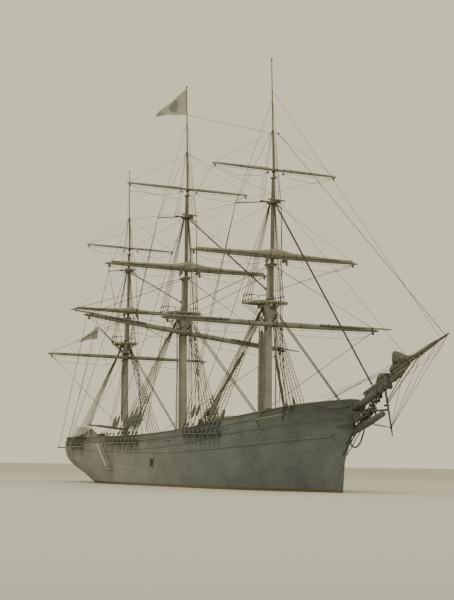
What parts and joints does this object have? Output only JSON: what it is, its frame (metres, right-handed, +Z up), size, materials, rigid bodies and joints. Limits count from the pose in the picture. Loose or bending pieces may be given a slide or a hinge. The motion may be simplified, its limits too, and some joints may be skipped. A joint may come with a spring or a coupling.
{
  "type": "three-masted sailing ship",
  "caption": "Three-masted square-rigged sailing ship afloat with sails furled, swinging yards, rudder and wheel, and a whole hull below the water, at half size.",
  "frame": {"origin": "on the waterline, on the centreline, amidships", "axes": "+X to the bow, +Y to port, +Z up"},
  "size_m": [36.4939, 14.3535, 25.2928],
  "materials": {
    "hull_paint": "weathered dark olive-grey paint on timber planking",
    "lower_mast_paint": "light grey-buff paint",
    "upper_mast_wood": "weathered varnish",
    "yard_wood": "dark oiled wood",
    "canvas": "weathered flax canvas",
    "flag_cloth": "bunting",
    "rope": "tarred hemp",
    "deck_wood": "scrubbed planking",
    "house_paint": "pale matt paint",
    "ironwork": "dark paint over iron",
    "rudder_wood": "dark timber"
  },
  "bodies": {
    "ship": {"after_hatch": "deck_wood", "anchor_port": "ironwork", "anchor_starboard": "ironwork", "bowsprit": "lower_mast_paint", "capstan_base": "ironwork", "deckhouse": "house_paint", "dolphin_striker": "yard_wood", "fore_hatch": "deck_wood", "fore_lower_mast": "lower_mast_paint", "fore_stay": "rope", "fore_topgallant_mast": "upper_mast_wood", "fore_topgallant_stay": "rope", "fore_topmast": "upper_mast_wood", "fore_topmast_stay": "rope", "furled_jib": "canvas", "hull": "hull_paint", "jibboom": "upper_mast_wood", "main_hatch": "deck_wood", "main_lower_mast": "lower_mast_paint", "main_stay": "rope", "main_topgallant_mast": "upper_mast_wood", "main_topmast": "upper_mast_wood", "main_topmast_stay": "rope", "main_truck_flag": "flag_cloth", "mizzen_lower_mast": "lower_mast_paint", "mizzen_stay": "rope", "mizzen_topgallant_mast": "upper_mast_wood", "mizzen_topmast": "upper_mast_wood", "mizzen_topmast_stay": "rope", "poop_awning": "canvas", "poop_rail": "deck_wood", "poop_skylight": "deck_wood", "wheel_box": "deck_wood"},
    "fore_course_yard_body": {"fore_course_yard": "yard_wood"},
    "fore_topsail_yard_body": {"fore_topsail_yard": "yard_wood", "fore_topsail_furled": "canvas"},
    "fore_topgallant_yard_body": {"fore_topgallant_yard": "yard_wood"},
    "main_course_yard_body": {"main_course_yard": "yard_wood"},
    "main_topsail_yard_body": {"main_topsail_yard": "yard_wood", "main_topsail_furled": "canvas"},
    "main_topgallant_yard_body": {"main_topgallant_yard": "yard_wood"},
    "crossjack_yard_body": {"crossjack_yard": "yard_wood"},
    "mizzen_topsail_yard_body": {"mizzen_topsail_yard": "yard_wood", "mizzen_topsail_furled": "canvas"},
    "mizzen_topgallant_yard_body": {"mizzen_topgallant_yard": "yard_wood"},
    "spanker_boom_body": {"spanker_boom": "upper_mast_wood"},
    "spanker_gaff_body": {"spanker_gaff": "upper_mast_wood", "ensign": "flag_cloth"},
    "rudder_body": {"rudder": "rudder_wood"},
    "wheel_body": {"steering_wheel": "deck_wood"},
    "capstan_body": {"capstan": "ironwork"}
  },
  "joints": [
    {"name": "fore_course_brace", "type": "hinge", "parent": "ship", "child": "fore_course_yard_body", "pos_m": [7.03288, 0, 8.42489], "axis": [-0.005, 0, 1], "range_deg": [-35, 35]},
    {"name": "fore_topsail_brace", "type": "hinge", "parent": "ship", "child": "fore_topsail_yard_body", "pos_m": [7.27533, 0, 11.93485], "axis": [-0.005, 0, 1], "range_deg": [-35, 35]},
    {"name": "fore_topgallant_brace", "type": "hinge", "parent": "ship", "child": "fore_topgallant_yard_body", "pos_m": [7.32417, 0, 16.51504], "axis": [-0.0549, 0, 0.9985], "range_deg": [-35, 35]},
    {"name": "main_course_brace", "type": "hinge", "parent": "ship", "child": "main_course_yard_body", "pos_m": [-2.18303, 0, 8.60113], "axis": [-0.03, 0, 0.9996], "range_deg": [-35, 35]},
    {"name": "main_topsail_brace", "type": "hinge", "parent": "ship", "child": "main_topsail_yard_body", "pos_m": [-2.03383, 0, 12.29447], "axis": [-0.03, 0, 0.9996], "range_deg": [-35, 35]},
    {"name": "main_topgallant_brace", "type": "hinge", "parent": "ship", "child": "main_topgallant_yard_body", "pos_m": [-2.06281, 0, 17.01928], "axis": [-0.0549, 0, 0.9985], "range_deg": [-35, 35]},
    {"name": "crossjack_brace", "type": "hinge", "parent": "ship", "child": "crossjack_yard_body", "pos_m": [-9.60467, 0, 7.64609], "axis": [-0.032, 0, 0.9995], "range_deg": [-35, 35]},
    {"name": "mizzen_topsail_brace", "type": "hinge", "parent": "ship", "child": "mizzen_topsail_yard_body", "pos_m": [-9.47535, 0, 10.47964], "axis": [-0.032, 0, 0.9995], "range_deg": [-35, 35]},
    {"name": "mizzen_topgallant_brace", "type": "hinge", "parent": "ship", "child": "mizzen_topgallant_yard_body", "pos_m": [-9.50982, 0, 14.50041], "axis": [-0.0519, 0, 0.9987], "range_deg": [-35, 35]},
    {"name": "spanker_boom_swing", "type": "hinge", "parent": "ship", "child": "spanker_boom_body", "pos_m": [-9.46475, 0, 3.27332], "axis": [-0.032, 0, 0.9995], "range_deg": [-38, 38]},
    {"name": "spanker_gaff_swing", "type": "hinge", "parent": "ship", "child": "spanker_gaff_body", "pos_m": [-9.61363, 0, 7.92594], "axis": [-0.032, 0, 0.9995], "range_deg": [-38, 38]},
    {"name": "rudder_turn", "type": "hinge", "parent": "ship", "child": "rudder_body", "pos_m": [-12.36, 0, 0], "axis": [0, 0, 1], "range_deg": [-35, 35]},
    {"name": "wheel_turn", "type": "hinge", "parent": "ship", "child": "wheel_body", "pos_m": [-12.51, 0, 2.89], "axis": [1, 0, 0], "range_deg": [-720, 720]},
    {"name": "capstan_turn", "type": "hinge", "parent": "ship", "child": "capstan_body", "pos_m": [11.7, 0, 3.69], "axis": [0, 0, 1], "continuous": true}
  ],
  "couplings": [
    {"joint": "wheel_turn", "follows": "rudder_turn", "ratio": -18}
  ]
}
